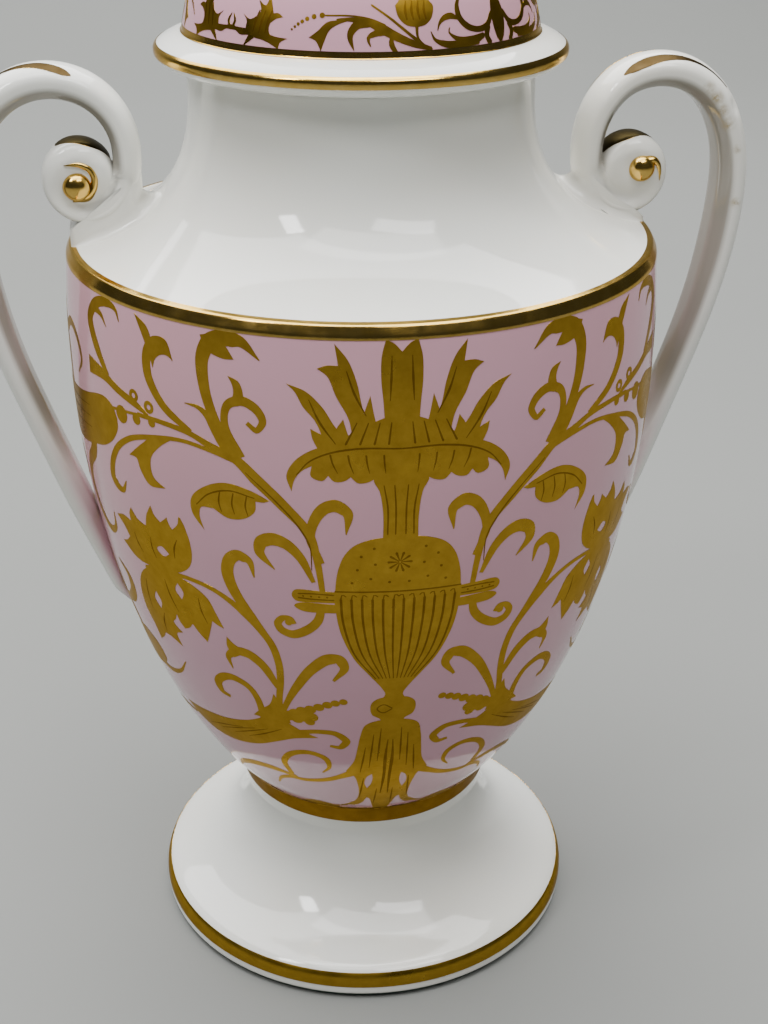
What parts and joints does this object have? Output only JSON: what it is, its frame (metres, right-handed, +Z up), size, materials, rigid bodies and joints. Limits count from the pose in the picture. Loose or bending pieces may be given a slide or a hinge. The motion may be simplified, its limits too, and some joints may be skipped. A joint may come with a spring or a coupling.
{
  "type": "mantel urn",
  "caption": "Covered porcelain mantel urn: hollow ovoid body on a round foot, scroll handles at the shoulder, domed lift-off lid with a finial.",
  "frame": {"origin": "centre of the underside of the felt pad, where the urn stands", "axes": "+Z up along the axis of the vessel; X through the two handles; -Y is the front"},
  "size_m": [0.2384, 0.1788, 0.391],
  "materials": {
    "porcelain": "gloss glaze, partly pink ground and gilding",
    "felt": "matte"
  },
  "bodies": {
    "root": {"urn": "porcelain", "lid": "porcelain", "felt_pad": "felt"}
  },
  "joints": []
}
